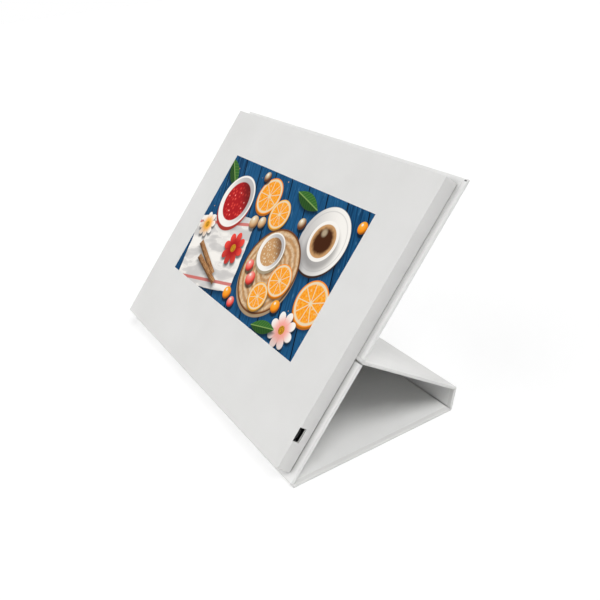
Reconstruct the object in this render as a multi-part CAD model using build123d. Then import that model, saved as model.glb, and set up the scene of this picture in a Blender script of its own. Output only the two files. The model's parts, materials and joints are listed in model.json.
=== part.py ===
from build123d import *
from math import atan2, cos, degrees, radians, sin, sqrt, tan

# A video brochure standing as a tilted display. A hard cover of five paper-wrapped panels (flap, base,
# spine, leg, rear) is folded into an easel, and a flat display box is glued to the rear panel.
# Millimetres. +X runs across the screen, -Y is the front, +Z is up, and the origin is the middle of
# the base panel's underside, which rests on the table.

# ---- Driving dimensions --------------------------------------------------------------------------

# cover materials
board_t = 1.75  # grey board
paper_t = 0.12  # wrap and liner paper
turn_in = 14.0  # wrap folded over onto the inner side
liner_margin = 2.5  # turn-in left showing round the liner
edge_round = 0.6  # wrapped edge of a panel
crease_gap = 0.2  # from a crease's pivot line to the end of each board
corner_depth = 1.1  # pivot lines of the two rear corners, beneath the outer face
corner_mitre = 45.0  # inner edges of the boards there are cut back at this angle

# standing easel: the panels' lengths are measured from pivot line to pivot line
tilt = 48.0  # slope of the screen above the table, degrees
base_len = 98.3
spine_lean = 74.7  # slope of the spine above the table, degrees
flap_clearance = 0.3  # between the flap and the back of the display box
flap_nose = 1.0  # from the flap's pivot line out to the paper, taut over that sharp fold
tip_gap = 0.25  # between the flap's free end and the leg crease
foot_gap = 3.6  # from the flap's pivot line up to the bottom of the display box

# shut cover
overhang = 4.1  # beyond the display box at the sides and the top
front_short = 1.64  # its front, base and flap, ends this far short of its back, leg and rear panel
shut_gap = 1.48  # room for the display box between front and back

# display box
card_t = 1.0  # face card and back card
wall_t = 1.2  # side frame
box_round = 0.5  # wrapped edges of the box
fit_gap = 0.15  # between parts pressed into one another
pocket_gap = 0.5  # round parts that lie in the foam

# LCD module, 7 inch 16:9, behind its window
screen_w = 152.4  # visible window
screen_h = 84.9
screen_left = 27.4  # to the box's edges
screen_right = 30.2
screen_top = 29.0
cell_margin = 3.8  # glass hidden by the paper, all round the window
cell_t = 1.25
guide_t = 1.9
rim_side = 2.45  # steel frame beyond the glass
rim_top = 3.2
rim_foot = 4.3
rim_floor = 0.35  # steel behind the light guide
rim_round = 1.0

# circuit board and ribbon
pcb_w = 60.0
pcb_h = 25.0
pcb_t = 1.0
pcb_round = 1.0
pcb_foot = 5.0  # from the foot of the box
hole_d = 2.2
hole_inset = 3.0
ribbon_w = 25.5
ribbon_t = 0.15
ribbon_reach = 6.0  # from the circuit board up to the LCD module
ribbon_left = 20.0  # middle of the ribbon, from the board's left edge
connector_rim = 2.0  # of the ribbon's connector, beside the ribbon
connector_h = 4.0
connector_t = 1.1

# port: a folded steel shell round a plastic tongue
port_w = 7.4
port_h = 2.5
port_d = 5.6
port_shell = 0.25
port_bevel = 0.6  # lower corners of the shell
port_floor = 1.0  # behind the mouth
port_centre = 19.2  # from the foot of the box
port_recess = 0.8  # mouth behind the side wall's face
tongue_w = 3.8
tongue_t = 0.6
tongue_drop = 0.7  # beneath the top of the shell
tongue_recess = 0.6  # behind the mouth
slot_gap = 0.1  # between the port and its slot in the side wall

# battery
battery_w = 50.0
battery_h = 60.0
battery_t = 3.4
battery_gap = 0.48  # between the battery and the LCD module
battery_foot = 64.0  # from the foot of the box
battery_left = 23.5  # its left edge, left of the circuit board's
battery_round = 1.2
circuit_h = 4.0  # end cap with the protection circuit
circuit_inset = 2.0
tape_t = 0.3
tape_inset = 5.0

# loudspeaker
speaker_w = 30.0
speaker_h = 20.0
speaker_t = 3.4
speaker_round = 3.0
speaker_left = 45.0  # its middle, from the box's left edge
speaker_foot = 17.0  # its middle, from the foot of the box
cone_rim = 2.0  # frame round the cone
cone_sink = 0.9
dust_cap_w = 14.0
dust_cap_h = 8.0
dust_cap_rise = 0.6
dust_cap_taper = 25.0

# magnet switch, a glass reed in a clip
switch_len = 12.0
switch_d = 2.2
switch_clip_len = 9.0
switch_clip_w = 2.6
switch_beside = 9.0  # its middle, from the LCD module's side
switch_drop = 18.0  # its middle, from the top of the box

# wires
wire_d = 0.9
wire_gap = 1.7  # between the two wires of a pair
lay_gap = 0.1  # under a wire that lies on the foam or the board
pad_inset = 2.0  # from the edge of the circuit board to a soldered wire end
lead_left = 14.0  # battery wires, from the circuit board's left edge

# magnets
magnet_d = 10.0
magnet_t = 1.2
magnet_spread = 80.0  # from the middle of the cover to each magnet
magnet_inset = 11.0  # from the flap's free end
catch_t = 0.8

# ---- Worked out from them ------------------------------------------------------------------------

cover_t = board_t + 3 * paper_t

# the box takes the LCD module above the circuit board, and the battery behind the LCD module
lcd_w = screen_w + 2 * (cell_margin + rim_side)
lcd_h = screen_h + 2 * cell_margin + rim_top + rim_foot
lcd_t = cell_t + guide_t + rim_floor
lcd_y = pcb_foot + pcb_h + ribbon_reach
screen_y = lcd_y + rim_foot + cell_margin
box_w = screen_left + screen_w + screen_right
box_h = screen_y + screen_h + screen_top
box_t = card_t + tape_t + battery_t + battery_gap + lcd_t + paper_t

cover_w = box_w + 2 * overhang
spine_len = box_t + 2 * (cover_t - corner_depth) + shut_gap

# how a panel ends at each crease: depth of the pivot line beneath the outer face, and how far the
# board is cut back above it for each millimetre of thickness
inner_fold = (cover_t, 0)
corner_fold = (corner_depth, tan(radians(corner_mitre)))
outer_fold = (0, 0)


def along(angle, distance=1.0):
    """Y and Z of a step in the side view, at an angle above +Y."""
    return Vector(0, cos(radians(angle)), sin(radians(angle))) * distance


# pivot lines in the side view: the flap's lies on the inner faces, the leg's upper one on the outer
# faces, and those of the two rear corners a little beneath the outer faces
flap_pivot = Vector(0, -base_len / 2, cover_t)
base_pivot = Vector(0, base_len / 2, corner_depth)
spine_pivot = base_pivot + along(spine_lean, spine_len)
slope_start = flap_pivot + along(tilt + 90, flap_clearance)


def leg_crease_rise():
    """Where the leg crease lies, up the slope from the flap's pivot.

    There the easel closes at its tilt, and the shut cover's front ends front_short below its back.
    The second makes the leg twice the rise less the spare, and the first makes it reach the spine.
    """
    spare = foot_gap + box_h + overhang + tip_gap + cover_t - base_len - front_short
    gap = slope_start - spine_pivot
    linear = 2 * spare + gap.dot(along(tilt))
    constant = spare**2 + corner_depth**2 - gap.dot(gap)
    return (linear + sqrt(linear**2 - 3 * constant)) / 3


crease_rise = leg_crease_rise()
rear_pivot = slope_start + along(tilt, crease_rise)
flap_len = crease_rise - tip_gap - cover_t
rear_len = foot_gap + box_h + overhang - crease_rise
leg_chord = rear_pivot - spine_pivot
leg_len = sqrt(leg_chord.length**2 - corner_depth**2)
leg_angle = degrees(atan2(leg_chord.Z, leg_chord.Y) + atan2(corner_depth, leg_len))


def panel_place(start, angle):
    """Frame of a panel: X across, Y along the cover, Z from the outer face to the inner face."""
    return Plane(origin=start, x_dir=(1, 0, 0), z_dir=along(angle + 90)).location


flap_tip = flap_pivot + along(tilt, flap_len) + along(tilt + 90, cover_t)
flap_place = panel_place(flap_tip, tilt + 180)
base_place = panel_place(Vector(0, -base_len / 2, 0), 0)
spine_place = panel_place(base_pivot - along(spine_lean + 90, corner_depth), spine_lean)
leg_place = panel_place(spine_pivot - along(leg_angle + 90, corner_depth), leg_angle)
rear_place = panel_place(rear_pivot, tilt)

# the display box has its own frame: Y up its face from its foot, Z from its back to its face
box_foot = slope_start + along(tilt, foot_gap) + along(tilt + 90, cover_t)
box_place = panel_place(box_foot, tilt)


# ---- Building blocks -----------------------------------------------------------------------------


def slab(x_low, x_high, y_low, y_high, z_low, z_high):
    """Box between two corners."""
    middle = Pos((x_low + x_high) / 2, (y_low + y_high) / 2, (z_low + z_high) / 2)
    return middle * Box(x_high - x_low, y_high - y_low, z_high - z_low)


def tile(width, y_low, y_high, z_low, z_high):
    """Box centred on the cover's middle."""
    return slab(-width / 2, width / 2, y_low, y_high, z_low, z_high)


def block(x, y, z_low, width, height, thickness):
    """Box standing on the middle of its base."""
    return Pos(x, y, z_low + thickness / 2) * Box(width, height, thickness)


def disc(x, y, z_low, diameter, thickness):
    """Cylinder standing on the middle of its base."""
    return Pos(x, y, z_low + thickness / 2) * Cylinder(diameter / 2, thickness)


def magnet_pair(y, z_low, diameter, thickness):
    """The left and right one of two equal discs."""
    discs = [disc(x, y, z_low, diameter, thickness) for x in (-magnet_spread, magnet_spread)]
    return Compound(children=discs)


def panel_solid(width, length, z_low, z_high, start_fold, end_fold, margin=0.0):
    """Plate between two folds, or from a fold to a free end, where the fold is None."""

    def end_line(fold):
        if fold is None:
            return [(margin, z_low), (margin, z_high)]
        depth, slope = fold
        heights = [z_low, z_high]
        if z_low < depth < z_high:
            heights.insert(1, depth)
        return [(crease_gap + max(0, z - depth) * slope, z) for z in heights]

    ends = [(length - y, z) for y, z in end_line(end_fold)]
    outline = Polygon(*end_line(start_fold), *reversed(ends), align=None)
    return extrude(Plane.YZ * outline, width / 2, both=True)


def soften(solid, radius, free_ends):
    """Rounds the wrapped edges of a panel: along its two sides and its free ends."""
    edges = solid.edges().filter_by(Axis.Y)
    for y in free_ends:
        edges += solid.edges().filter_by_position(Axis.Y, y - 0.01, y + 0.01).filter_by(Axis.X)
    return fillet(edges, radius)


def cover_panel(length, start_fold, end_fold):
    """Board, wrap and liner of one panel, outer face down, running along +Y."""
    folds = (start_fold, end_fold)
    board_top = paper_t + board_t
    free_ends = []
    inset_ends = []
    if start_fold is None:
        free_ends.append(0)
        inset_ends.append(paper_t)
    if end_fold is None:
        free_ends.append(length)
        inset_ends.append(length - paper_t)

    board = panel_solid(cover_w - 2 * paper_t, length, paper_t, board_top, *folds, margin=paper_t)
    board = soften(board, edge_round - paper_t, inset_ends)
    skin = panel_solid(cover_w, length, 0, board_top + paper_t, *folds)
    skin = soften(skin, edge_round, free_ends)
    bare_w = cover_w - 2 * turn_in
    bare_start = turn_in if start_fold is None else 0
    bare_end = length - turn_in if end_fold is None else length
    wrap = skin - board - tile(bare_w, bare_start, bare_end, board_top, cover_t)

    liner_w = cover_w - 2 * liner_margin
    liner = panel_solid(liner_w, length, board_top, cover_t, *folds, margin=liner_margin) - wrap
    return board, wrap, liner


def crease_disc(radius, angle, nose):
    """A disc about a pivot line, pulled flat at the nose in one direction."""
    if nose is None:
        return Circle(radius)
    middle = along(angle, nose - radius)
    press = Pos(middle.Y, middle.Z) * Rot(0, 0, angle) * Rectangle(2 * radius, 3 * radius)
    return Circle(radius) & press


def crease(pivot, radius, from_angle, to_angle, nose=None):
    """Paper that runs round a pivot line between two panels, whose faces point at the two angles."""
    middle_angle = (from_angle + to_angle) / 2
    corners = [Vector(0, 0, 0)]
    corners += [along(angle, 3 * radius) for angle in (from_angle, middle_angle, to_angle)]
    wedge = Polygon(*[(corner.Y, corner.Z) for corner in corners], align=None)
    outer = crease_disc(radius, middle_angle, nose)
    inner = crease_disc(radius - paper_t, middle_angle, nose and nose - paper_t)
    web = (outer - inner) & wedge
    for angle, side in ((from_angle, -1), (to_angle, 1)):
        middle = along(angle, radius - paper_t / 2) + along(angle + 90 * side, crease_gap / 2)
        web += Pos(middle.Y, middle.Z) * Rot(0, 0, angle + 90) * Rectangle(crease_gap, paper_t)
    strip = extrude(Plane.YZ * web, cover_w / 2 - edge_round, both=True)
    return Pos(0, pivot.Y, pivot.Z) * strip


# ---- Cover ---------------------------------------------------------------------------------------

flap_board, flap_wrap, flap_liner = cover_panel(flap_len, None, inner_fold)
base_board, base_wrap, base_liner = cover_panel(base_len, inner_fold, corner_fold)
spine_board, spine_wrap, spine_liner = cover_panel(spine_len, corner_fold, corner_fold)
leg_board, leg_wrap, leg_liner = cover_panel(leg_len, corner_fold, outer_fold)
rear_board, rear_wrap, rear_liner = cover_panel(rear_len, outer_fold, None)

# two disc magnets sit in pockets of the flap's board, under the wrap
pocket_d = magnet_d + 2 * fit_gap
flap_magnets = magnet_pair(magnet_inset, paper_t, magnet_d, magnet_t)
flap_board -= magnet_pair(magnet_inset, paper_t, pocket_d, magnet_t)

parts = {
    "flap_board": flap_place * flap_board,
    "flap_wrap": flap_place * flap_wrap,
    "flap_liner": flap_place * flap_liner,
    "flap_magnets": flap_place * flap_magnets,
    "base_board": base_place * base_board,
    "base_wrap": base_place * base_wrap,
    "base_liner": base_place * base_liner,
    "spine_board": spine_place * spine_board,
    "spine_wrap": spine_place * spine_wrap,
    "spine_liner": spine_place * spine_liner,
    "leg_board": leg_place * leg_board,
    "leg_wrap": leg_place * leg_wrap,
    "leg_liner": leg_place * leg_liner,
    "rear_board": rear_place * rear_board,
    "rear_wrap": rear_place * rear_wrap,
    "rear_liner": rear_place * rear_liner,
    "flap_crease": crease(flap_pivot, cover_t, tilt + 90, 270, flap_nose),
    "base_crease": crease(base_pivot, corner_depth, -90, spine_lean - 90),
    "spine_crease": crease(spine_pivot, corner_depth, spine_lean - 90, leg_angle - 90),
    "leg_crease": crease(rear_pivot, cover_t, tilt + 90, leg_angle + 90),
}

# ---- Display box: carcass ------------------------------------------------------------------------

face_under = box_t - paper_t  # underside of the face paper
card_under = face_under - card_t
lcd_under = face_under - lcd_t
screen_x = screen_left - box_w / 2
lcd_x = screen_x - cell_margin - rim_side
inner_w = box_w - 2 * paper_t - 2 * wall_t
inner_low = paper_t + wall_t
inner_high = box_h - paper_t - wall_t

pcb_top = card_under - fit_gap - port_h
pcb_under = pcb_top - pcb_t
slot_w = port_w + 2 * slot_gap
slot_base = pcb_top - slot_gap
port_slot = block(box_w / 2, port_centre, slot_base, 4 * wall_t, slot_w, face_under - slot_base)


def wrapped_edges(solid):
    """The edges the paper is folded over: the four corners and the rim of the face."""
    return solid.edges().filter_by(Axis.Z) + solid.faces().sort_by(Axis.Z)[-1].edges()


# printed paper: face and four side walls in one sheet, with the screen window and the port slot;
# the sheet's back rim is rounded too, which leaves a fine groove where the walls meet the cover
sheet = tile(box_w, 0, box_h, 0, box_t)
sheet = fillet(sheet.edges(), box_round)
carcass = tile(box_w - 2 * paper_t, paper_t, box_h - paper_t, 0, face_under)
carcass = fillet(wrapped_edges(carcass), box_round - paper_t) & sheet
window = slab(screen_x, screen_x + screen_w, screen_y, screen_y + screen_h, face_under, box_t)
face_wrap = sheet - carcass - window - port_slot

# card under the face, cut out for the whole LCD module
card_zone = tile(box_w, 0, box_h, card_under, face_under)
lcd_cut = slab(
    lcd_x - fit_gap,
    lcd_x + lcd_w + fit_gap,
    lcd_y - fit_gap,
    lcd_y + lcd_h + fit_gap,
    card_under,
    face_under,
)
face_card = (carcass & card_zone) - lcd_cut - port_slot

# four walls in one frame, and the back card set between them
frame_zone = tile(box_w, 0, box_h, 0, card_under)
frame_hole = tile(inner_w, inner_low, inner_high, 0, card_under)
side_frame = (carcass & frame_zone) - frame_hole - port_slot
back_card = tile(inner_w - 2 * fit_gap, inner_low + fit_gap, inner_high - fit_gap, 0, card_t)

# ---- Display box: LCD module ---------------------------------------------------------------------

cell_under = face_under - cell_t
guide_under = cell_under - guide_t


def lcd_layer(z_low, z_high, gap=0.0):
    """Plate of the glass cell's outline, grown by a gap."""
    reach = cell_margin + gap
    return slab(
        screen_x - reach,
        screen_x + screen_w + reach,
        screen_y - reach,
        screen_y + screen_h + reach,
        z_low,
        z_high,
    )


lcd_glass = lcd_layer(cell_under, face_under)
light_guide = lcd_layer(guide_under, cell_under)
lcd_frame = slab(lcd_x, lcd_x + lcd_w, lcd_y, lcd_y + lcd_h, lcd_under, face_under)
lcd_frame = fillet(lcd_frame.edges().filter_by(Axis.Z), rim_round)
lcd_frame -= lcd_layer(guide_under, face_under, fit_gap)

# ---- Display box: circuit board, port, ribbon ----------------------------------------------------

pcb_right = inner_w / 2 - fit_gap
pcb_left = pcb_right - pcb_w
pcb_high = pcb_foot + pcb_h

main_board = slab(pcb_left, pcb_right, pcb_foot, pcb_high, pcb_under, pcb_top)
main_board = fillet(main_board.edges().filter_by(Axis.Z), pcb_round)
for x in (pcb_left + hole_inset, pcb_right - hole_inset):
    main_board -= disc(x, pcb_foot + hole_inset, pcb_under, hole_d, pcb_t)

# the port's shell is open to the side wall, and its lower corners are bevelled inside and out
port_right = box_w / 2 - port_recess
port_x = port_right - port_d / 2
shell = block(port_x, port_centre, pcb_top, port_d, port_w, port_h)
shell = chamfer(shell.edges().filter_by(Axis.X).group_by(Axis.Z)[0], port_bevel)
mouth = block(
    port_x + port_floor / 2,
    port_centre,
    pcb_top + port_shell,
    port_d - port_floor,
    port_w - 2 * port_shell,
    port_h - 2 * port_shell,
)
mouth = chamfer(mouth.edges().filter_by(Axis.X).group_by(Axis.Z)[0], port_bevel - port_shell / 2)
tongue_low = pcb_top + port_h - tongue_drop - tongue_t
tongue_right = port_right - tongue_recess
tongue_left = port_right - port_d + port_floor
tongue_x = (tongue_left + tongue_right) / 2
tongue = block(tongue_x, port_centre, tongue_low, tongue_right - tongue_left, tongue_w, tongue_t)
usb_socket = shell - mouth + tongue

# ribbon from the LCD's lower edge to its connector on the circuit board
connector_x = pcb_left + ribbon_left
connector_y = pcb_high - connector_h / 2
connector_w = ribbon_w + 2 * connector_rim
ribbon_connector = block(connector_x, connector_y, pcb_top, connector_w, connector_h, connector_t)
ribbon_low = pcb_top + connector_t / 2
ribbon_h = lcd_y - pcb_high
lcd_ribbon = block(
    connector_x, pcb_high + ribbon_h / 2, ribbon_low, ribbon_w, ribbon_h, ribbon_t
)

# chips and other parts on the circuit board: centre from its lower left corner, size and height
chip_sizes = [
    (13.0, 10.0, 10.0, 10.0, 1.0),
    (28.0, 9.5, 8.0, 12.0, 1.2),
    (39.0, 8.0, 5.0, 6.0, 1.4),
    (45.0, 18.0, 4.0, 4.0, 1.2),
    (49.0, 6.0, 3.2, 1.6, 0.8),
    (3.5, 17.0, 3.0, 5.0, 1.2),
]
chips = [block(pcb_left + x, pcb_foot + y, pcb_top, w, h, t) for x, y, w, h, t in chip_sizes]
board_chips = Compound(children=[*chips, ribbon_connector])

# ---- Display box: battery, speaker, switch, magnets ----------------------------------------------

# the battery's end cap reaches down to its wires, which are soldered under the circuit board
battery_x = pcb_left - battery_left + battery_w / 2
battery_y = battery_foot + battery_h / 2
battery_low = card_t + tape_t
under_z = pcb_under - wire_d / 2
circuit_t = 2 * (battery_low + battery_t - under_z)
battery = block(battery_x, battery_y, battery_low, battery_w, battery_h, battery_t)
battery = fillet(battery.edges().filter_by(Axis.X), battery_round)
battery += block(
    battery_x,
    battery_foot - circuit_h / 2,
    under_z - circuit_t / 2,
    battery_w - 2 * circuit_inset,
    circuit_h,
    circuit_t,
)
tape_w = battery_w - 2 * tape_inset
tape_h = battery_h - 2 * tape_inset
battery_tape = block(battery_x, battery_y, card_t, tape_w, tape_h, tape_t)

# loudspeaker under the face card: frame with a domed cone in an oval opening
speaker_x = speaker_left - box_w / 2
speaker_under = card_under - speaker_t
speaker = block(speaker_x, speaker_foot, speaker_under, speaker_w, speaker_h, speaker_t)
speaker = fillet(speaker.edges().filter_by(Axis.Z), speaker_round)
cone_outline = SlotOverall(speaker_w - 2 * cone_rim, speaker_h - 2 * cone_rim)
speaker -= extrude(Pos(speaker_x, speaker_foot, card_under) * cone_outline, -cone_sink)
dust_cap = Pos(speaker_x, speaker_foot, card_under - cone_sink) * SlotOverall(dust_cap_w, dust_cap_h)
speaker += extrude(dust_cap, dust_cap_rise, taper=dust_cap_taper)

# the magnet switch stands beside the LCD, and its wires run straight down to the board
over_z = pcb_top + wire_d / 2 + lay_gap
switch_x = lcd_x + lcd_w + switch_beside
switch_y = box_h - switch_drop
magnet_switch = Rot(90, 0, 0) * Cylinder(switch_d / 2, switch_len)
magnet_switch += Box(switch_clip_w, switch_clip_len, switch_clip_w)
magnet_switch = Pos(switch_x, switch_y, over_z) * magnet_switch

# the flap's magnets meet one pair of catches at the top of the face when the cover is shut, and
# another in the back when it stands
front_catch_y = box_h + overhang - front_short - magnet_inset
front_catch_under = card_under - magnet_t
back_catch_y = flap_len - magnet_inset - foot_gap
front_catch_magnets = magnet_pair(front_catch_y, front_catch_under, magnet_d, magnet_t)
back_catch_discs = magnet_pair(back_catch_y, card_t, magnet_d, catch_t)


def wire_pair(start, end):
    """Two straight wires side by side, lying flat."""
    run = Vector(*end) - Vector(*start)
    sideways = Vector(-run.Y, run.X, 0).normalized() * (wire_gap / 2)
    wires = []
    for offset in (-sideways, sideways):
        place = Plane(origin=Vector(*start) + offset, z_dir=run)
        wires.append(extrude(place * Circle(wire_d / 2), run.length))
    return Compound(children=wires)


pad_y = pcb_high - pad_inset
lead_x = pcb_left + lead_left
battery_leads = wire_pair((lead_x, battery_foot - circuit_h, under_z), (lead_x, pad_y, under_z))
speaker_leads = wire_pair(
    (speaker_x + speaker_w / 2, speaker_foot, over_z), (pcb_left + pad_inset, speaker_foot, over_z)
)
switch_leads = wire_pair((switch_x, switch_y - switch_len / 2, over_z), (switch_x, pad_y, over_z))

# ---- Display box: foam core ----------------------------------------------------------------------

# foam fills the carcass, with a pocket cut right through for everything that lies in it
foam_core = tile(
    inner_w - 2 * fit_gap, inner_low + fit_gap, inner_high - fit_gap, card_t, card_under
)


def pocket(part, gap, z_low):
    """Hole round a part's outline, open to the face."""
    box = part.bounding_box()
    return slab(
        box.min.X - gap, box.max.X + gap, box.min.Y - gap, box.max.Y + gap, z_low, card_under
    )


foam_core -= pocket(lcd_frame, fit_gap, lcd_under)
foam_core -= pocket(battery, pocket_gap, card_t)
foam_core -= pocket(main_board, pocket_gap, pcb_under)
foam_core -= pocket(usb_socket, pocket_gap, pcb_under)
foam_core -= pocket(speaker, fit_gap, speaker_under)
foam_core -= pocket(battery_leads, pocket_gap, under_z - wire_d / 2 - lay_gap)
foam_core -= pocket(speaker_leads, pocket_gap, pcb_top)
foam_core -= pocket(magnet_switch, fit_gap, over_z - switch_clip_w / 2 - lay_gap)
foam_core -= pocket(switch_leads, pocket_gap, pcb_top)
foam_core -= pocket(lcd_ribbon, pocket_gap, pcb_top)
foam_core -= magnet_pair(front_catch_y, front_catch_under, pocket_d, magnet_t)
foam_core -= magnet_pair(back_catch_y, card_t, pocket_d, catch_t)

parts |= {
    "face_wrap": box_place * face_wrap,
    "face_card": box_place * face_card,
    "side_frame": box_place * side_frame,
    "back_card": box_place * back_card,
    "foam_core": box_place * foam_core,
    "lcd_glass": box_place * lcd_glass,
    "light_guide": box_place * light_guide,
    "lcd_frame": box_place * lcd_frame,
    "lcd_ribbon": box_place * lcd_ribbon,
    "main_board": box_place * main_board,
    "board_chips": box_place * board_chips,
    "usb_socket": box_place * usb_socket,
    "battery": box_place * battery,
    "battery_tape": box_place * battery_tape,
    "battery_leads": box_place * battery_leads,
    "speaker": box_place * speaker,
    "speaker_leads": box_place * speaker_leads,
    "magnet_switch": box_place * magnet_switch,
    "switch_leads": box_place * switch_leads,
    "front_catch_magnets": box_place * front_catch_magnets,
    "back_catch_discs": box_place * back_catch_discs,
}

# ---- Write ---------------------------------------------------------------------------------------

for name, part in parts.items():
    export_step(part, f"parts/{name}.step")

pivots = {"flap": flap_pivot, "spine": base_pivot, "leg": spine_pivot, "display": rear_pivot}
for name, pivot in pivots.items():
    print(f"{name} pivot: y {pivot.Y:.4f} z {pivot.Z:.4f}")
print(f"angles: tilt {tilt:.3f} spine {spine_lean:.3f} leg {leg_angle:.3f}")
print(f"lengths: flap {flap_len:.3f} leg {leg_len:.3f} rear {rear_len:.3f} spine {spine_len:.3f}")
port_middle = box_place * Pos(box_w / 2, port_centre, (slot_base + face_under) / 2)
print("port mouth:", tuple(round(value, 4) for value in port_middle.position))
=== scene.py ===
import json
from math import atan2, cos, degrees, pi, radians, sin

import bpy
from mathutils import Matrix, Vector


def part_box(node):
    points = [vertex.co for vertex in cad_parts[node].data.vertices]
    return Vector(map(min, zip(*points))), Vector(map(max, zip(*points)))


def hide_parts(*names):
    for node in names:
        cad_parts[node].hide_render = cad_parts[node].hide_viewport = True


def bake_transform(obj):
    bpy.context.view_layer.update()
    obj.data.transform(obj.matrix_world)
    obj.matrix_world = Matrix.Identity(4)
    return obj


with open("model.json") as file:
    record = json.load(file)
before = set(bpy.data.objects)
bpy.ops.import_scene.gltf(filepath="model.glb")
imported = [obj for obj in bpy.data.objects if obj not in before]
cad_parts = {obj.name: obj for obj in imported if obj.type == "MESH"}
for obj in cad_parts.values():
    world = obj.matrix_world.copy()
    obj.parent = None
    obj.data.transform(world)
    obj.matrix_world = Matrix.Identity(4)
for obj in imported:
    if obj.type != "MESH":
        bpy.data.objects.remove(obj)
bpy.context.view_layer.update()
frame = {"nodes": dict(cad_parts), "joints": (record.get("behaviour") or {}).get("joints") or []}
mm = 0.001


# ---- Studio --------------------------------------------------------------------------------------
# A white floor in a white room, lit by two high softboxes, on the right and behind, and by two wide
# ones lower down, in front and behind. The camera sees the room and the floor as plain white, and the
# floor keeps the object's soft shadow.

floor_size = 6.0
room_light = 0.0  # the room is only seen, and lights nothing
floor_white = 0.97
seen_white = 0.42  # of the floor's colour that the camera sees, the rest being its glow
seen_glow = 0.66
# name, the side that it shines from, strength, and how wide it looks in degrees
softboxes = [
    ("key_softbox", (0.50, 0.00, 0.86), 1.60, 30.0),
    ("top_softbox", (0.40, 0.50, 0.77), 0.35, 40.0),
    ("front_softbox", (-0.27, -0.73, 0.60), 1.50, 60.0),
    ("rear_softbox", (0.10, 0.95, 0.25), 1.05, 60.0),
]

scene = bpy.context.scene
scene.view_settings.view_transform = "Standard"

bpy.ops.object.select_all(action="DESELECT")
bpy.ops.mesh.primitive_grid_add(x_subdivisions=8, y_subdivisions=8, size=floor_size, location=(0, 0, 0))
floor = bpy.context.object
floor.name = "studio_floor"

floor_paint = bpy.data.materials.new("studio_white")
floor_paint.use_nodes = True
floor_shader = floor_paint.node_tree.nodes["Principled BSDF"]
floor_shader.inputs["Roughness"].default_value = 0.9
floor_shader.inputs["Specular IOR Level"].default_value = 0.0
floor_shader.inputs["Emission Color"].default_value = (1, 1, 1, 1)
floor_seen = floor_paint.node_tree.nodes.new("ShaderNodeLightPath")
floor_sockets = [("Base Color", floor_white, seen_white), ("Emission Strength", 0.0, seen_glow)]
for socket, unseen, in_view in floor_sockets:
    level = floor_paint.node_tree.nodes.new("ShaderNodeMapRange")
    level.inputs["To Min"].default_value = unseen
    level.inputs["To Max"].default_value = in_view
    floor_paint.node_tree.links.new(floor_seen.outputs["Is Camera Ray"], level.inputs["Value"])
    floor_paint.node_tree.links.new(level.outputs[0], floor_shader.inputs[socket])
floor.data.materials.append(floor_paint)

room = bpy.data.worlds.new("white_room")
room.use_nodes = True
scene.world = room
tree = room.node_tree
background = tree.nodes["Background"]
background.inputs["Color"].default_value = (1, 1, 1, 1)
seen = tree.nodes.new("ShaderNodeLightPath")
direct = tree.nodes.new("ShaderNodeMath")
direct.operation = "ADD"
tree.links.new(seen.outputs["Is Camera Ray"], direct.inputs[0])
tree.links.new(seen.outputs["Is Glossy Ray"], direct.inputs[1])
clear = tree.nodes.new("ShaderNodeMath")
clear.operation = "ADD"
clear.use_clamp = True
tree.links.new(direct.outputs[0], clear.inputs[0])
tree.links.new(seen.outputs["Is Transmission Ray"], clear.inputs[1])
level = tree.nodes.new("ShaderNodeMapRange")
level.inputs["To Min"].default_value = room_light
level.inputs["To Max"].default_value = 1.0
tree.links.new(clear.outputs[0], level.inputs["Value"])
tree.links.new(level.outputs[0], background.inputs["Strength"])

for name, side, strength, width in softboxes:
    bpy.ops.object.light_add(type="SUN", location=side)
    softbox = bpy.context.object
    softbox.name = name
    softbox.data.energy = strength
    softbox.data.angle = radians(width)
    softbox.rotation_euler = Vector(side).to_track_quat("Z", "Y").to_euler()

bpy.ops.object.camera_add(location=(0.34867, -0.16398, 0.23768))
camera = bpy.context.object
camera.name = "camera"
camera.rotation_euler = (radians(62.550), radians(5.617), radians(58.747))
camera.data.sensor_width = 36.0
camera.data.lens = 43.202
camera.data.clip_start = 0.01
scene.camera = camera


# ---- Hard cover ----------------------------------------------------------------------------------
# Five panels of grey board, each wrapped in white paper with a matte film, its turned-in edges hidden
# by a plain liner, which is pressed down between the boards. The film leaves a faint grain and a soft
# sheen. The flap and the rear panel lie against the display box. Shade is painted into their paper
# near that seam, and painted light makes their wraps lighter than the other panels' wraps.


def set_plain(shader, colour, roughness, metallic=0.0, specular=0.5):
    shader.inputs["Base Color"].default_value = (*colour, 1)
    shader.inputs["Roughness"].default_value = roughness
    shader.inputs["Metallic"].default_value = metallic
    shader.inputs["Specular IOR Level"].default_value = specular


def new_finish(name):
    """An empty material with its node tree and its shader."""
    finish = bpy.data.materials.new(name)
    finish.use_nodes = True
    return finish, finish.node_tree, finish.node_tree.nodes["Principled BSDF"]


def grain(tree, scale, detail=4.0):
    """Noise on the piece's own coordinates, with about scale grains to the metre."""
    place = tree.nodes.new("ShaderNodeTexCoord")
    noise = tree.nodes.new("ShaderNodeTexNoise")
    noise.inputs["Scale"].default_value = scale
    noise.inputs["Detail"].default_value = detail
    tree.links.new(place.outputs["Object"], noise.inputs["Vector"])
    return noise.outputs["Fac"]


def spread(tree, value, dark, light):
    """Colours from dark to light over the middle of a noise."""
    ramp = tree.nodes.new("ShaderNodeValToRGB")
    ramp.color_ramp.elements[0].position = 0.3
    ramp.color_ramp.elements[0].color = (*dark, 1)
    ramp.color_ramp.elements[1].position = 0.7
    ramp.color_ramp.elements[1].color = (*light, 1)
    tree.links.new(value, ramp.inputs["Fac"])
    return ramp.outputs["Color"]


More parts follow.
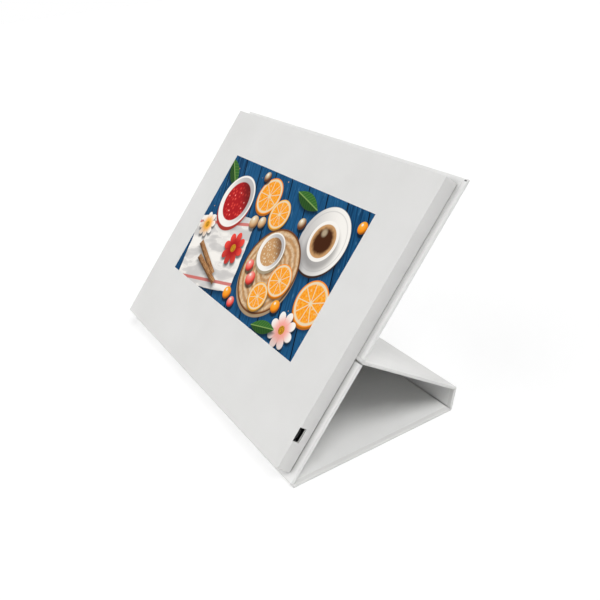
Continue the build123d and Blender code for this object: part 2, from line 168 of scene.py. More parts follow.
def rough_surface(tree, shader, heights):
    """Bumps from several (value, depth in metres) pairs, one on top of the other."""
    normal = None
    for value, depth in heights:
        bump = tree.nodes.new("ShaderNodeBump")
        bump.inputs["Strength"].default_value = 1.0
        bump.inputs["Distance"].default_value = depth
        tree.links.new(value, bump.inputs["Height"])
        if normal is not None:
            tree.links.new(normal, bump.inputs["Normal"])
        normal = bump.outputs["Normal"]
    tree.links.new(normal, shader.inputs["Normal"])


def crevice_shade(tree, colour, reach, darkest):
    """Paints shade into a colour, by up to darkest where the piece meets another, within reach of the
    seam.
    """
    open_sky = tree.nodes.new("ShaderNodeAmbientOcclusion")
    open_sky.samples = 8
    open_sky.inputs["Distance"].default_value = reach
    level = tree.nodes.new("ShaderNodeMapRange")
    level.inputs["From Min"].default_value = 0.2
    level.inputs["From Max"].default_value = 0.9
    level.inputs["To Min"].default_value = darkest
    tree.links.new(open_sky.outputs["AO"], level.inputs["Value"])
    shade = tree.nodes.new("ShaderNodeMix")
    shade.data_type = "RGBA"
    shade.inputs["A"].default_value = (0, 0, 0, 1)
    tree.links.new(level.outputs[0], shade.inputs["Factor"])
    tree.links.new(colour, shade.inputs["B"])
    return shade.outputs["Result"]


def paper_finish(name, dark, light, roughness, seam_reach=None, seam_dark=1.0):
    """Matte paper, cloudy from dark to light, with shade painted within seam_reach of a seam."""
    finish, tree, shader = new_finish(name)
    set_plain(shader, light, roughness, specular=0.35)
    shader.inputs["Sheen Weight"].default_value = 0.05
    clouds = grain(tree, 35.0)
    colour = spread(tree, clouds, dark, light)
    if seam_reach:
        colour = crevice_shade(tree, colour, seam_reach, seam_dark)
    tree.links.new(colour, shader.inputs["Base Color"])
    waves = (grain(tree, 60.0), 0.06 * mm)
    film = (grain(tree, 2500.0, 2.0), 0.012 * mm)
    rough_surface(tree, shader, [waves, film])
    return finish


print_dark, print_light = (0.765, 0.762, 0.748), (0.800, 0.797, 0.785)
outer_paper = paper_finish("outer_paper", print_dark, print_light, 0.55)
# shade is painted into the box's paper within 1 mm of a seam, where its walls meet the cover
box_paper = paper_finish("box_paper", print_dark, print_light, 0.55, 1.0 * mm, 0.75)
plain_dark, plain_light = (0.850, 0.850, 0.840), (0.885, 0.885, 0.875)
inner_paper = paper_finish("inner_paper", plain_dark, plain_light, 0.60)
# for the flap and the rear panel: on their wraps the liner's lighter colour is painted light, and shade
# is painted within 5 mm of their seam with the display box
seam_shaded_paper = paper_finish("seam_shaded_paper", plain_dark, plain_light, 0.55, 5.0 * mm, 0.45)

grey_board, tree, shader = new_finish("grey_board")
set_plain(shader, (0.27, 0.25, 0.22), 0.9)
pulp = spread(tree, grain(tree, 900.0), (0.22, 0.20, 0.17), (0.33, 0.31, 0.27))
tree.links.new(pulp, shader.inputs["Base Color"])
rough_surface(tree, shader, [(grain(tree, 1500.0), 0.04 * mm)])

nickel, tree, shader = new_finish("magnet_nickel")
set_plain(shader, (0.70, 0.68, 0.64), 0.25, metallic=1.0)
rough_surface(tree, shader, [(grain(tree, 4000.0), 0.004 * mm)])


def paint(node, finish):
    """Gives a CAD node its finish."""
    mesh = frame["nodes"][node].data
    mesh.materials.clear()
    mesh.materials.append(finish)


def line_ends(board):
    """Lines the ends of a panel's board, where the liner is pressed down beside a fold."""
    mesh = frame["nodes"][board].data
    mesh.materials.append(inner_paper)
    flat = max(mesh.polygons, key=lambda face: face.area).normal.copy()
    for face in mesh.polygons:
        if abs(face.normal.x) < 0.5 and abs(face.normal.dot(flat)) < 0.9:
            face.material_index = 1


for panel in ("flap", "base", "spine", "leg", "rear"):
    # the flap's and the rear panel's wraps get painted light, and painted shade by the display box
    paint(f"{panel}_wrap", seam_shaded_paper if panel in ("flap", "rear") else outer_paper)
    paint(f"{panel}_liner", seam_shaded_paper if panel == "rear" else inner_paper)
    paint(f"{panel}_board", grey_board)
    line_ends(f"{panel}_board")
paint("flap_magnets", nickel)


# ---- Creases -------------------------------------------------------------------------------------
# The wrap paper runs on from panel to panel round each fold. A crease is one rounded strip on its
# pivot line, closed at both ends by the paper turned in there.

crease_gap = 0.199 * mm  # from a pivot line to the panel on each side
cover_t = 2.11 * mm  # wrap, board, turn-in and liner
corner_depth = 1.1 * mm  # from the outer faces in to the pivot lines of the two rear corners
edge_round = 0.6 * mm
flap_nose = 1.0 * mm  # the paper is taut over the sharp fold in front
ring_steps = 96
tilt = 48.0  # slope of the screen, degrees

joints = {joint["name"]: joint for joint in frame["joints"]}
flap_pivot = Vector(joints["flap_hinge"]["pos_m"])
base_pivot = Vector(joints["spine_hinge"]["pos_m"])
spine_pivot = Vector(joints["leg_hinge"]["pos_m"])
rear_pivot = Vector(joints["display_hinge"]["pos_m"])
spine_run = spine_pivot - base_pivot
spine_angle = degrees(atan2(spine_run.z, spine_run.y))
leg_run = rear_pivot - spine_pivot
leg_angle = degrees(atan2(leg_run.z, leg_run.y) + corner_depth / leg_run.length)
cover_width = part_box("base_wrap")[1][0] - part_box("base_wrap")[0][0]


def toward(angle, reach=1.0):
    """A step in the side view, at an angle in degrees above +Y."""
    return Vector((0, cos(radians(angle)), sin(radians(angle)))) * reach


def pick(keep):
    """In edit mode, selects the vertices that keep says, and what lies between them."""
    bpy.ops.object.mode_set(mode="OBJECT")
    mesh = bpy.context.object.data
    for item in (*mesh.polygons, *mesh.edges):
        item.select = False
    for vertex in mesh.vertices:
        vertex.select = keep(vertex.co)
    bpy.ops.object.mode_set(mode="EDIT")
    bpy.ops.mesh.select_mode(type="VERT")
    bpy.ops.mesh.select_mode(type="EDGE")


# where the panels' outer faces point in the side view, and the inner faces of the leg and rear panel
base_out = -90.0
flap_out = tilt - 270
spine_out = spine_angle - 90
leg_out = leg_angle - 90
leg_in = leg_angle + 90
rear_in = tilt + 90

# name, CAD node, bodies at its two ends, pivot, radius, nose, and where the faces beside it point
folds = [
    ("flap_fold", "flap_crease", "base", "flap", flap_pivot, cover_t, flap_nose, base_out, flap_out),
    ("base_fold", "base_crease", "base", "spine", base_pivot, corner_depth, None, base_out, spine_out),
    ("spine_fold", "spine_crease", "spine", "leg", spine_pivot, corner_depth, None, spine_out, leg_out),
    ("rear_fold", "leg_crease", "leg", "display", rear_pivot, cover_t, None, leg_in, rear_in),
]
for name, node, before, after, pivot, radius, nose, first, last in folds:
    bpy.ops.object.select_all(action="DESELECT")
    bpy.ops.mesh.primitive_cylinder_add(
        vertices=ring_steps, radius=radius, depth=cover_width, location=pivot, rotation=(0, pi / 2, 0)
    )
    fold = bpy.context.object
    fold.name = name
    bpy.ops.object.transform_apply(location=True, rotation=True, scale=True)
    middle = (first + last) / 2
    bpy.ops.object.mode_set(mode="EDIT")
    for end in (first, last):
        turn = 1 if end > middle else -1
        outward = toward(end + 90 * turn)
        bpy.ops.mesh.select_all(action="SELECT")
        bpy.ops.mesh.bisect(
            plane_co=pivot + outward * crease_gap, plane_no=outward, use_fill=True, clear_outer=True
        )
    if nose:
        outward = toward(middle)
        bpy.ops.mesh.select_all(action="SELECT")
        bpy.ops.mesh.bisect(
            plane_co=pivot + outward * nose, plane_no=outward, use_fill=True, clear_outer=True
        )
    for side in (-1, 1):
        rim_x = side * cover_width / 2

        def on_rim(point):
            away = Vector((0, point.y - pivot.y, point.z - pivot.z))
            outside = away.length > radius * 0.97 or nose and away.dot(toward(middle)) > nose * 0.99
            return abs(point.x - rim_x) < 1e-6 and bool(outside)

        pick(on_rim)
        bpy.ops.mesh.bevel(offset=min(edge_round, radius * 0.6), segments=4, affect="EDGES")
    bpy.ops.object.mode_set(mode="OBJECT")
    bpy.ops.object.shade_smooth_by_angle(angle=radians(30))
    fold.data.materials.append(outer_paper)
    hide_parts(node)
    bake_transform(fold)


# ---- Display box ---------------------------------------------------------------------------------
# A flat carcass of white card walls with a face card and a back card, packed with foam. One sheet
# of the same white paper covers the face and folds down over the four walls, with shade painted into
# it along its seams. The cut edge of the port's slot, in the right wall, is painted black, as painted
# shade for the dark slot.

white_card, tree, shader = new_finish("white_card")
set_plain(shader, (0.74, 0.73, 0.70), 0.85)
rough_surface(tree, shader, [(grain(tree, 1800.0), 0.03 * mm)])
white_foam, tree, shader = new_finish("white_foam")
set_plain(shader, (0.82, 0.82, 0.82), 0.9)
rough_surface(tree, shader, [(grain(tree, 1200.0), 0.1 * mm)])


class Drawing:
    """Adds nodes to one tree, and passes sockets or numbers between them."""

    def __init__(self, tree):
        self.tree = tree

    def feed(self, value, socket):
        if hasattr(value, "is_output"):
            self.tree.links.new(value, socket)
        else:
            socket.default_value = value

    def maths(self, operation, *values):
        node = self.tree.nodes.new("ShaderNodeMath")
        node.operation = operation
        for value, socket in zip(values, node.inputs):
            self.feed(value, socket)
        return node.outputs[0]

    def fade(self, value, low, high, start=0.0, stop=1.0):
        """From start to stop, smoothly, as the value goes from low to high."""
        node = self.tree.nodes.new("ShaderNodeMapRange")
        node.interpolation_type = "SMOOTHSTEP"
        for number, socket in zip((value, low, high, start, stop), node.inputs):
            self.feed(number, socket)
        return node.outputs[0]

    def mix(self, amount, under, over):
        node = self.tree.nodes.new("ShaderNodeMix")
        node.data_type = "RGBA"
        self.feed(amount, node.inputs["Factor"])
        self.feed(under, node.inputs["A"])
        self.feed(over, node.inputs["B"])
        return node.outputs["Result"]

    def vector(self, operation, *values):
        node = self.tree.nodes.new("ShaderNodeVectorMath")
        node.operation = operation
        for value, socket in zip(values, node.inputs):
            self.feed(value, socket)
        return node.outputs["Value" if operation in ("LENGTH", "DOT_PRODUCT") else "Vector"]

    def scaled(self, point, factor):
        node = self.tree.nodes.new("ShaderNodeVectorMath")
        node.operation = "SCALE"
        self.feed(point, node.inputs[0])
        self.feed(factor, node.inputs["Scale"])
        return node.outputs["Vector"]

    def turned(self, point, angle):
        node = self.tree.nodes.new("ShaderNodeVectorRotate")
        node.rotation_type = "Z_AXIS"
        self.feed(point, node.inputs["Vector"])
        self.feed(angle, node.inputs["Angle"])
        return node.outputs["Vector"]

    def noise(self, point, scale, detail=2.0, stretch=None):
        if stretch is not None:
            point = self.vector("MULTIPLY", point, stretch)
        node = self.tree.nodes.new("ShaderNodeTexNoise")
        self.feed(point, node.inputs["Vector"])
        self.feed(scale, node.inputs["Scale"])
        self.feed(detail, node.inputs["Detail"])
        return node.outputs["Fac"]

    def cells(self, point, scale, randomness):
        """Distance from the nearest of many scattered spots."""
        node = self.tree.nodes.new("ShaderNodeTexVoronoi")
        self.feed(self.vector("MULTIPLY", point, (1, 1, 0)), node.inputs["Vector"])
        self.feed(scale, node.inputs["Scale"])
        self.feed(randomness, node.inputs["Randomness"])
        return node.outputs["Distance"]

    def parts(self, point):
        """A point's coordinates, as three sockets."""
        node = self.tree.nodes.new("ShaderNodeSeparateXYZ")
        self.feed(point, node.inputs[0])
        return tuple(node.outputs)

    def reach(self, point):
        """Distance from the middle, in the picture's plane."""
        return self.vector("LENGTH", self.vector("MULTIPLY", point, (1, 1, 0)))

    def bearing(self, point):
        """Angle round the middle, in the picture's plane."""
        x, y, z = self.parts(point)
        return self.maths("ARCTAN2", y, x)

    def tilted(self, origin):
        """A point in mm from an origin: across, up the slope and out of the face."""
        place = self.tree.nodes.new("ShaderNodeTexCoord")
        slope = self.tree.nodes.new("ShaderNodeMapping")
        slope.vector_type = "TEXTURE"
        slope.inputs["Location"].default_value = origin
        slope.inputs["Rotation"].default_value = (radians(tilt), 0, 0)
        slope.inputs["Scale"].default_value = (mm, mm, mm)
        self.tree.links.new(place.outputs["Object"], slope.inputs["Vector"])
        return slope.outputs["Vector"]


def paint_shade_box(finish, origin, half, softness):
    """Paints shade into a finish as black, within a box about a point, its half sizes across, up the
    slope and out.
    """
    tree = finish.node_tree
    shader = tree.nodes["Principled BSDF"]
    pen = Drawing(tree)
    inside = 1.0
    for step, reach in zip(pen.parts(pen.tilted(origin)), half):
        away = pen.maths("ABSOLUTE", step)
        inside = pen.maths("MULTIPLY", inside, pen.fade(away, reach, reach - softness))
    paper = shader.inputs["Base Color"].links[0].from_socket
    tree.links.new(pen.mix(inside, paper, (0.01, 0.01, 0.01, 1)), shader.inputs["Base Color"])


slot_half = (0.35, 3.85, 2.20)  # mm, of the edge painted black as shade: into the wall, up the slope and out
slot_rise = 0.42 * mm  # from the socket's middle to the slot's
port_low, port_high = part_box("usb_socket")
box_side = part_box("face_wrap")[1][0]
slot_middle = Vector((box_side, (port_low[1] + port_high[1]) / 2, (port_low[2] + port_high[2]) / 2))
slot_middle += toward(tilt + 90, slot_rise)
# the slot's cut edge is painted black, as painted shade for the dark slot
paint_shade_box(box_paper, slot_middle, slot_half, softness=0.15)
paint("face_wrap", box_paper)

# the paper turned in at a top corner of the rear panel leaves a small tuck, its shade painted as a black
# spot
tuck_half = (0.9, 0.5, 0.7)  # mm
tuck_inset = 1.0 * mm  # from the panel's side
tuck_drop = 0.6 * mm  # from its top
rear_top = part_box("rear_wrap")[1][2]
tuck = rear_pivot + toward(tilt + 90, cover_t)
tuck += toward(tilt, (rear_top - tuck.z) / sin(radians(tilt)) - tuck_drop)
tuck.x = cover_width / 2 - tuck_inset
paint_shade_box(seam_shaded_paper, tuck, tuck_half, softness=0.4)

for node in ("face_card", "side_frame", "back_card"):
    paint(node, white_card)
paint("foam_core", white_foam)


# ---- Port ----------------------------------------------------------------------------------------
# A micro-USB socket: a folded, tinned steel shell round a black tongue, that looks out through the
# slot in the right wall. The steel is coloured near black, as painted shade for the dark inside.

shaded_port_steel, tree, shader = new_finish("shaded_port_steel")
# painted shade: the steel is near black, for the dark inside of the slot
set_plain(shader, (0.05, 0.05, 0.05), 0.35, metallic=1.0)
rough_surface(tree, shader, [(grain(tree, 5000.0), 0.005 * mm)])
paint("usb_socket", shaded_port_steel)


# ---- Inner parts ---------------------------------------------------------------------------------
# Everything that lies in the foam: the screen's frame and light guide, battery, board, speaker,
# switch, wires and magnets.

# colour, roughness and how metallic it is
inner_finishes = {
    "light_guide": ((0.85, 0.87, 0.90), 0.1, 0.0),
    "lcd_frame": ((0.45, 0.45, 0.46), 0.4, 1.0),
    "lcd_ribbon": ((0.45, 0.20, 0.04), 0.3, 0.0),
    "main_board": ((0.01, 0.12, 0.03), 0.35, 0.0),
    "board_chips": ((0.02, 0.02, 0.02), 0.5, 0.0),
    "battery": ((0.60, 0.60, 0.62), 0.35, 1.0),
    "battery_tape": ((0.75, 0.65, 0.35), 0.6, 0.0),
    "battery_leads": ((0.35, 0.01, 0.01), 0.4, 0.0),
    "speaker": ((0.03, 0.03, 0.03), 0.5, 0.0),
    "speaker_leads": ((0.35, 0.01, 0.01), 0.4, 0.0),
    "magnet_switch": ((0.03, 0.03, 0.03), 0.3, 0.0),
    "switch_leads": ((0.35, 0.01, 0.01), 0.4, 0.0),
    "front_catch_magnets": ((0.70, 0.68, 0.64), 0.25, 1.0),
    "back_catch_discs": ((0.55, 0.55, 0.56), 0.4, 1.0),
}
for node, (colour, roughness, metallic) in inner_finishes.items():
    finish, tree, shader = new_finish(node)
    set_plain(shader, colour, roughness, metallic)
    rough_surface(tree, shader, [(grain(tree, 2000.0), 0.01 * mm)])
    paint(node, finish)


# ---- Screen --------------------------------------------------------------------------------------
# The LCD's glass, flush under the window in the paper, shows a still picture: fruit, flowers, a cup
# and a linen cloth laid out on blue boards. It lights itself, and the glass over it is satin.

glass_low, glass_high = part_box("lcd_glass")
glass_thickness = 1.25 * mm
glass_margin = 3.8 * mm  # of the glass, under the paper round the window
board_width = 17.0  # mm
board_turn = radians(64)
shadow_step = (1.1, -1.7, 0.0)  # mm, from a motif to its shadow
shadow_colour = (0.002, 0.005, 0.010, 1)


def motif_group(name, depth_inside, draw, softness=0.03, height=0.10):
    """A motif as a node group: it is laid over the picture at a middle, a size and a turn.

    A motif is as thick as its height, which shows as a darker side, and casts a soft shadow.
    """
    group = bpy.data.node_groups.new(name, "ShaderNodeTree")
    sockets = [
        ("Point", "NodeSocketVector"), ("Under", "NodeSocketColor"), ("Middle", "NodeSocketVector"),
        ("Size", "NodeSocketFloat"), ("Turn", "NodeSocketFloat"), ("Main", "NodeSocketColor"),
        ("Second", "NodeSocketColor"),
    ]
    for label, kind in sockets:
        group.interface.new_socket(label, in_out="INPUT", socket_type=kind)
    group.interface.new_socket("Colour", in_out="OUTPUT", socket_type="NodeSocketColor")
    given = group.nodes.new("NodeGroupInput").outputs
    result = group.nodes.new("NodeGroupOutput").inputs["Colour"]
    pen = Drawing(group)
    small = pen.maths("DIVIDE", 1.0, given["Size"])

    def seen_from(shift):
        away = pen.vector("SUBTRACT", pen.vector("SUBTRACT", given["Point"], given["Middle"]), shift)
        return pen.scaled(pen.turned(away, given["Turn"]), small)

    shade = pen.fade(depth_inside(pen, seen_from(shadow_step)), -0.16, 0.16, 0.0, 0.80)
    colour = pen.mix(shade, given["Under"], shadow_colour)
    side_step = pen.scaled((0.25, -1.0, 0.0), pen.maths("MULTIPLY", given["Size"], height))
    side = pen.fade(depth_inside(pen, seen_from(side_step)), 0.0, softness)
    colour = pen.mix(side, colour, pen.mix(0.55, given["Main"], (0.03, 0.02, 0.015, 1)))
    point = seen_from((0, 0, 0))
    inside = pen.fade(depth_inside(pen, point), 0.0, softness)
    colour = pen.mix(inside, colour, draw(pen, point, given["Main"], given["Second"]))
    group.links.new(colour, result)
    return group


CREAM = (0.82, 0.68, 0.46, 1)
WHITE = (0.93, 0.90, 0.85, 1)
SHADE = (0.50, 0.485, 0.48, 1)
DARK_WOOD = (0.16, 0.055, 0.016, 1)


def in_disc(pen, point):
    return pen.maths("SUBTRACT", 1.0, pen.reach(point))


def in_flower(pen, point):
    angle = pen.bearing(point)
    lobes = pen.maths("ABSOLUTE", pen.maths("COSINE", pen.maths("MULTIPLY", angle, 4.0)))
    edge = pen.maths("MULTIPLY_ADD", pen.maths("POWER", lobes, 0.6), 0.42, 0.56)
    return pen.maths("SUBTRACT", edge, pen.reach(point))


def in_leaf(pen, point):
    x, y, z = pen.parts(point)
    half = pen.maths("MULTIPLY", pen.maths("SUBTRACT", 1.0, pen.maths("MULTIPLY", x, x)), 0.36)
    return pen.maths("SUBTRACT", half, pen.maths("ABSOLUTE", y))


def in_stick(pen, point):
    x, y, z = pen.parts(point)
    ends = pen.maths("SUBTRACT", 1.0, pen.maths("ABSOLUTE", x))
    return pen.maths("MINIMUM", ends, pen.maths("SUBTRACT", 0.13, pen.maths("ABSOLUTE", y)))


def in_cloth(pen, point):
    x, y, z = pen.parts(point)
    wave = pen.maths("MULTIPLY", pen.noise(point, 1.6, 2.0), 0.16)
    ends = pen.maths("SUBTRACT", 1.42, pen.maths("ADD", pen.maths("ABSOLUTE", x), wave))
    sides = pen.maths("SUBTRACT", 1.08, pen.maths("ADD", pen.maths("ABSOLUTE", y), wave))
    return pen.maths("MINIMUM", ends, sides)


def draw_slice(pen, point, main, second):
    """A slice of fruit: rind, pith and wedges of flesh."""
    reach = pen.reach(point)
    angle = pen.bearing(point)
    wedge = pen.maths("ABSOLUTE", pen.maths("SINE", pen.maths("MULTIPLY", angle, 4.5)))
    wall = pen.maths("MULTIPLY", wedge, pen.maths("MULTIPLY", reach, 1.6))
    flesh = pen.maths("MULTIPLY", pen.fade(wall, 0.08, 0.22), pen.fade(reach, 0.84, 0.78))
    flesh = pen.maths("MULTIPLY", flesh, pen.fade(reach, 0.05, 0.12))
    juice = pen.mix(pen.fade(pen.noise(point, 9.0, 3.0), 0.35, 0.65), main, second)
    juice = pen.mix(pen.fade(pen.noise(point, 5.0), 0.60, 0.72, 0.0, 0.6), juice, CREAM)
    rind = pen.mix(pen.fade(reach, 0.90, 0.95), CREAM, main)
    return pen.mix(flesh, rind, juice)


def draw_flower(pen, point, main, second):
    """An open flower: eight petals, darker towards a yellow middle."""
    reach = pen.reach(point)
    angle = pen.bearing(point)
    x, y, z = pen.parts(point)
    lobes = pen.maths("ABSOLUTE", pen.maths("COSINE", pen.maths("MULTIPLY", angle, 4.0)))
    petal = pen.mix(pen.fade(reach, 0.25, 0.90), second, main)
    petal = pen.mix(pen.fade(lobes, 0.0, 0.45, 0.65, 0.0), petal, second)
    shaded = pen.mix(0.5, second, (0.02, 0.01, 0.01, 1))
    petal = pen.mix(pen.fade(y, 0.2, -0.9, 0.0, 0.45), petal, shaded)
    pollen = pen.fade(pen.noise(point, 22.0), 0.4, 0.6)
    heart = pen.mix(pollen, (0.80, 0.42, 0.02, 1), (0.25, 0.08, 0.01, 1))
    return pen.mix(pen.fade(reach, 0.26, 0.20), petal, heart)


def draw_leaf(pen, point, main, second):
    """A pointed leaf with a pale midrib and slanting veins."""
    x, y, z = pen.parts(point)
    width = pen.maths("ABSOLUTE", y)
    slant = pen.maths("MULTIPLY_ADD", width, -0.8, x)
    vein = pen.maths("ABSOLUTE", pen.maths("SINE", pen.maths("MULTIPLY", slant, 16.0)))
    blade = pen.mix(pen.fade(vein, 0.30, 0.0, 0.0, 0.5), main, second)
    blade = pen.mix(pen.fade(y, -0.02, 0.02, 0.6, 0.0), blade, (0.008, 0.030, 0.008, 1))
    return pen.mix(pen.fade(width, 0.035, 0.015), blade, second)


def draw_bowl(pen, point, main, second):
    """A round white bowl seen from above, filled with small berries."""
    reach = pen.reach(point)
    x, y, z = pen.parts(point)
    near = pen.cells(point, 6.5, 0.55)
    fill = pen.mix(pen.fade(near, 0.05, 0.55), main, second)
    fill = pen.mix(pen.fade(near, 0.16, 0.08), fill, WHITE)
    fill = pen.mix(pen.fade(pen.maths("ADD", x, y), 0.1, 1.0, 0.0, 0.7), fill, (0.05, 0.01, 0.01, 1))
    wall = pen.mix(pen.fade(pen.maths("ADD", x, y), -0.9, 0.9), WHITE, SHADE)
    body = pen.mix(pen.fade(reach, 0.76, 0.72), wall, fill)
    return pen.mix(pen.fade(reach, 0.90, 0.93), body, WHITE)


def draw_cup(pen, point, main, second):
    """A cup of coffee on its saucer, seen from above, with foam round the rim."""
    reach = pen.reach(point)
    x, y, z = pen.parts(point)
    saucer = pen.mix(pen.fade(pen.maths("ADD", x, y), 1.0, -1.2, 0.0, 0.8), WHITE, SHADE)
    lip = pen.maths("ABSOLUTE", pen.maths("SUBTRACT", reach, 0.86))
    saucer = pen.mix(pen.fade(lip, 0.03, 0.0, 0.0, 0.5), saucer, SHADE)
    shade = pen.vector("LENGTH", pen.vector("SUBTRACT", point, (0.10, -0.16, 0.0)))
    saucer = pen.mix(pen.fade(shade, 0.78, 0.52, 0.0, 0.6), saucer, (0.16, 0.15, 0.15, 1))
    foam = pen.maths("MULTIPLY_ADD", pen.noise(point, 7.0, 3.0), 0.12, reach)
    coffee = pen.mix(pen.fade(foam, 0.36, 0.52), main, second)
    glint = pen.vector("LENGTH", pen.vector("SUBTRACT", point, (-0.16, 0.18, 0.0)))
    coffee = pen.mix(pen.fade(glint, 0.16, 0.05, 0.0, 0.5), coffee, CREAM)
    cup = pen.mix(pen.fade(reach, 0.50, 0.47), WHITE, coffee)
    return pen.mix(pen.fade(reach, 0.60, 0.575), saucer, cup)


def draw_board(pen, point, main, second):
    """A round slice of wood with growth rings and a dark bark edge."""
    reach = pen.reach(point)
    wobble = pen.noise(point, 2.2, 2.0)
    rings = pen.maths("SINE", pen.maths("MULTIPLY_ADD", wobble, 7.0, pen.maths("MULTIPLY", reach, 44.0)))
    wood = pen.mix(pen.fade(rings, -1.0, 1.0), main, second)
    wood = pen.mix(pen.fade(pen.noise(point, 14.0, 3.0), 0.3, 0.7, 0.35, 0.0), wood, DARK_WOOD)
    return pen.mix(pen.fade(reach, 0.93, 0.965), wood, DARK_WOOD)


def draw_ball(pen, point, main, second):
    """A small round fruit or nut, lit from the upper left."""
    light = pen.vector("LENGTH", pen.vector("SUBTRACT", point, (-0.35, 0.40, 0.0)))
    body = pen.mix(pen.fade(light, 0.1, 1.15), main, second)
    body = pen.mix(pen.fade(light, 0.9, 1.5, 0.0, 0.8), body, (0.03, 0.01, 0.01, 1))
    return pen.mix(pen.fade(light, 0.30, 0.10, 0.0, 0.85), body, WHITE)


def draw_stick(pen, point, main, second):
    """A rolled stick of bark, with fibres along it."""
    x, y, z = pen.parts(point)
    fibres = pen.noise(point, 6.0, 3.0, stretch=(0.5, 8.0, 1.0))
    bark = pen.mix(pen.fade(fibres, 0.35, 0.65), main, second)
    return pen.mix(pen.fade(y, 0.02, -0.13, 0.0, 0.85), bark, (0.03, 0.010, 0.004, 1))


def draw_cloth(pen, point, main, second):
    """A linen cloth in soft folds, with a woven stripe near its border."""
    x, y, z = pen.parts(point)
    folds = pen.noise(point, 1.3, 2.0, stretch=(0.7, 2.2, 1.0))
    linen = pen.mix(pen.fade(folds, 0.38, 0.62, 0.75, 0.0), main, SHADE)
    ridge = pen.maths("ABSOLUTE", pen.maths("SUBTRACT", folds, 0.5))
    linen = pen.mix(pen.fade(ridge, 0.02, 0.0, 0.0, 0.6), linen, WHITE)
    stripe = pen.maths("ABSOLUTE", pen.maths("SUBTRACT", pen.maths("ABSOLUTE", y), 0.80))
    linen = pen.mix(pen.fade(stripe, 0.05, 0.035, 0.0, 0.85), linen, second)
    weave = pen.maths("SINE", pen.maths("MULTIPLY", x, 120.0))
    weave = pen.maths("MULTIPLY", weave, pen.maths("SINE", pen.maths("MULTIPLY", y, 120.0)))
    return pen.mix(pen.fade(weave, 0.0, 1.0, 0.0, 0.12), linen, (0.25, 0.22, 0.20, 1))


motifs = {
    "slice": motif_group("slice", in_disc, draw_slice),
    "flower": motif_group("flower", in_flower, draw_flower, height=0.03),
    "leaf": motif_group("leaf", in_leaf, draw_leaf, height=0.02),
    "bowl": motif_group("bowl", in_disc, draw_bowl, height=0.14),
    "cup": motif_group("cup", in_disc, draw_cup, height=0.06),
    "board": motif_group("board", in_disc, draw_board, softness=0.02, height=0.07),
    "ball": motif_group("ball", in_disc, draw_ball, softness=0.06, height=0.0),
    "stick": motif_group("stick", in_stick, draw_stick, height=0.0),
    "cloth": motif_group("cloth", in_cloth, draw_cloth, softness=0.012, height=0.01),
}

ORANGE = (0.93, 0.27, 0.008, 1)
AMBER = (0.97, 0.45, 0.050, 1)
CORAL = (0.85, 0.070, 0.050, 1)
CRIMSON = (0.42, 0.012, 0.016, 1)
PINK = (0.92, 0.38, 0.32, 1)
GREEN = (0.040, 0.150, 0.028, 1)
PALE_GREEN = (0.22, 0.36, 0.10, 1)
TAN = (0.58, 0.32, 0.14, 1)
LIGHT_TAN = (0.80, 0.58, 0.36, 1)
BROWN = (0.20, 0.07, 0.025, 1)
COFFEE = (0.060, 0.018, 0.006, 1)

# motif, middle in mm from the window's lower left corner, size in mm, turn in degrees, two colours
layout = [
    ("cloth", 34, 24, 24, -14, WHITE, (0.62, 0.10, 0.08, 1)),
    ("leaf", 8, 74, 13, 40, GREEN, PALE_GREEN),
    ("leaf", 96, 77, 13, 12, GREEN, PALE_GREEN),
    ("bowl", 28, 58, 18, 0, CORAL, CRIMSON),
    ("slice", 59, 70, 12.0, 20, ORANGE, AMBER),
    ("slice", 78, 63, 9.5, 50, AMBER, ORANGE),
    ("cup", 126, 61, 20, 15, COFFEE, TAN),
    ("board", 96, 32, 26, 0, LIGHT_TAN, TAN),
    ("bowl", 89, 42, 12.0, 0, CREAM, TAN),
    ("slice", 110, 31, 10.0, 0, ORANGE, AMBER),
    ("slice", 99, 17, 8.5, 35, AMBER, ORANGE),
    ("ball", 84, 23, 4.4, 0, PINK, CORAL),
    ("ball", 77, 29, 3.8, 0, PINK, CORAL),
    ("ball", 118, 18, 3.8, 0, AMBER, ORANGE),
    ("stick", 30, 18, 17, 22, TAN, BROWN),
    ("stick", 36, 12, 16, 15, TAN, BROWN),
    ("flower", 52, 32, 11, 0, CORAL, CRIMSON),
    ("flower", 10, 36, 9, 25, WHITE, AMBER),
    ("slice", 143, 30, 13, 15, ORANGE, AMBER),
    ("flower", 133, 10, 11, 8, WHITE, PINK),
    ("leaf", 117, 5, 11, -15, GREEN, PALE_GREEN),
    ("ball", 58, 52, 4.4, 0, CREAM, TAN),
    ("ball", 66, 54, 3.8, 0, CREAM, TAN),
    ("ball", 70, 8, 4.0, 0, AMBER, ORANGE),
    ("ball", 78, 5, 3.4, 0, PINK, CORAL),
    ("ball", 102, 64, 3.6, 0, CREAM, BROWN),
    ("ball", 149, 76, 3.6, 0, AMBER, ORANGE),
    ("ball", 47, 80, 3.4, 0, CREAM, BROWN),
]

screen_finish, tree, shader = new_finish("screen")
pen = Drawing(tree)
glass_corner = (
    glass_low[0] + glass_margin, glass_low[1], glass_low[2] + glass_thickness * cos(radians(tilt))
)
spot = pen.vector("SUBTRACT", pen.tilted(glass_corner), (0, glass_margin / mm, 0))

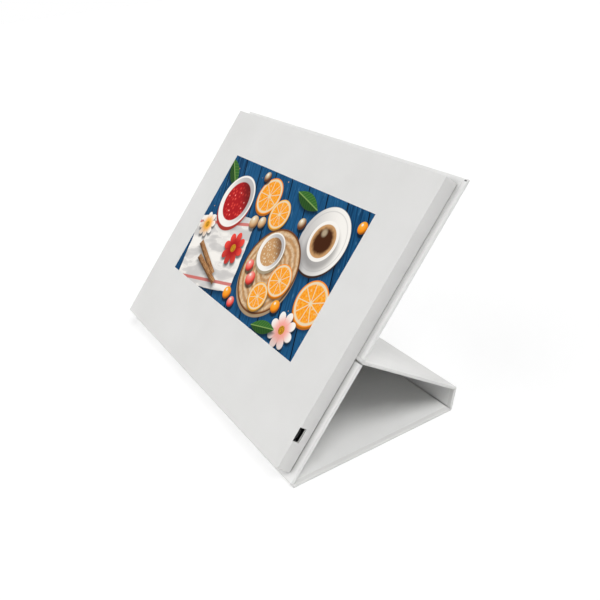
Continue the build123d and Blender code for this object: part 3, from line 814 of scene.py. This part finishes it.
# blue boards, each with its own tone, running slantwise under everything
slant = pen.turned(spot, board_turn)
rows = pen.maths("DIVIDE", pen.parts(slant)[1], board_width)
wave = pen.maths("SINE", pen.maths("MULTIPLY", pen.maths("FLOOR", rows), 12.9))
tone = pen.maths("FRACT", pen.maths("MULTIPLY", wave, 43.7))
fibres = pen.noise(slant, 1.0, 4.0, stretch=(0.05, 0.9, 1.0))
blue = pen.mix(pen.fade(fibres, 0.3, 0.7), (0.003, 0.030, 0.085, 1), (0.012, 0.095, 0.230, 1))
blue = pen.mix(pen.maths("MULTIPLY", tone, 0.5), blue, (0.018, 0.125, 0.290, 1))
worn = pen.noise(slant, 1.0, 5.0, stretch=(0.12, 0.5, 1.0))
blue = pen.mix(pen.fade(worn, 0.60, 0.75, 0.0, 0.5), blue, (0.10, 0.26, 0.42, 1))
gap = pen.maths("ABSOLUTE", pen.maths("SUBTRACT", pen.maths("FRACT", rows), 0.5))
picture = pen.mix(pen.fade(gap, 0.465, 0.485), blue, (0.001, 0.004, 0.010, 1))

# crumbs scattered on the boards
crumbs = pen.cells(spot, 0.12, 1.0)
picture = pen.mix(pen.fade(crumbs, 0.07, 0.045), picture, TAN)

# each motif's point hangs, by a millionth, on the colour beneath it: the renderer then works the
# motifs out one after another, which keeps the shader within its memory
hang = (1e-6, 1e-6, 1e-6)
for kind, x, y, size, turn, main, second in layout:
    motif = tree.nodes.new("ShaderNodeGroup")
    motif.node_tree = motifs[kind]
    pen.feed(pen.vector("MULTIPLY_ADD", picture, hang, spot), motif.inputs["Point"])
    pen.feed(picture, motif.inputs["Under"])
    pen.feed((x, y, 0), motif.inputs["Middle"])
    pen.feed(size, motif.inputs["Size"])
    pen.feed(radians(turn), motif.inputs["Turn"])
    pen.feed(main, motif.inputs["Main"])
    pen.feed(second, motif.inputs["Second"])
    picture = motif.outputs["Colour"]

set_plain(shader, (0.001, 0.001, 0.001), 0.25, specular=0.01)
tree.links.new(picture, shader.inputs["Emission Color"])
shader.inputs["Emission Strength"].default_value = 1.0
paint("lcd_glass", screen_finish)
